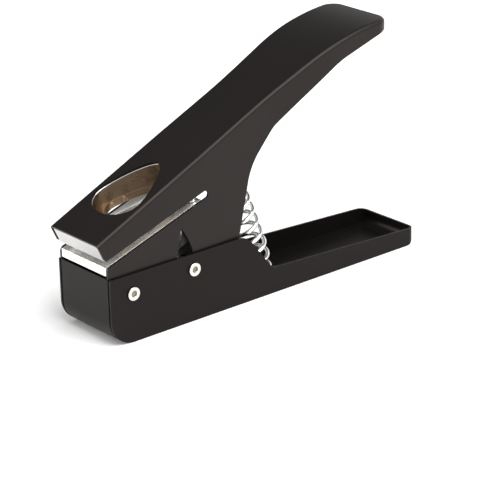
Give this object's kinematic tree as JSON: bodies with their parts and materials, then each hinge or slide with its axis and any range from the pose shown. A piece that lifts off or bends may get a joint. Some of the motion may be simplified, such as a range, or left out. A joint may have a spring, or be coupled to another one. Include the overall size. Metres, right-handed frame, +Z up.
{
  "type": "guitar pick punch",
  "caption": "Desk lever punch that cuts a guitar pick from a thin plastic sheet pushed into its front slot.",
  "frame": {"origin": "under the middle of the whole punch, on the desk", "axes": "+X from the mouth to the tail, +Z up, Y across the punch"},
  "size_m": [0.1848, 0.0394, 0.1149],
  "materials": {
    "black_paint": "satin black powder coat",
    "polished_steel": "polished plated steel",
    "tool_steel": "ground steel",
    "rivet_nickel": "nickel plated, rolled rim",
    "spring_wire": "bright plated wire",
    "seat_plastic": "moulded black plastic"
  },
  "bodies": {
    "base": {"base_tub": "black_paint", "front_pivot_rivet": "rivet_nickel", "punch_rivet": "rivet_nickel", "pivot_sleeve": "tool_steel", "punch_roller": "tool_steel", "pin_spacer_near": "tool_steel", "pin_spacer_far": "tool_steel", "spring_lower_seat": "seat_plastic", "return_spring": "spring_wire"},
    "lever": {"lever_shell": "black_paint", "upper_die": "polished_steel", "lower_guide_plate": "polished_steel", "die_spacer_near": "polished_steel", "die_spacer_far": "polished_steel", "die_screw_near": "tool_steel", "die_screw_far": "tool_steel", "spring_upper_seat": "seat_plastic"},
    "punch": {"punch": "tool_steel", "punch_carrier": "tool_steel", "punch_screw_front": "tool_steel", "punch_screw_rear": "tool_steel"}
  },
  "joints": [
    {"name": "lever_hinge", "type": "hinge", "parent": "base", "child": "lever", "pos_m": [-0.0757, 0, 0.0226], "axis": [0, 1, 0], "range_deg": [0, 24], "stiffness_Nm_per_rad": 2.5, "springref_deg": -17.19, "deforming": ["return_spring"]},
    {"name": "punch_slide", "type": "slide", "parent": "lever", "child": "punch", "axis": [-0.3156, 0, 0.9489], "range_m": [0, 0.014]}
  ],
  "couplings": [
    {"joint": "punch_slide", "follows": "lever_hinge", "m_per_rad": 0.03335}
  ]
}
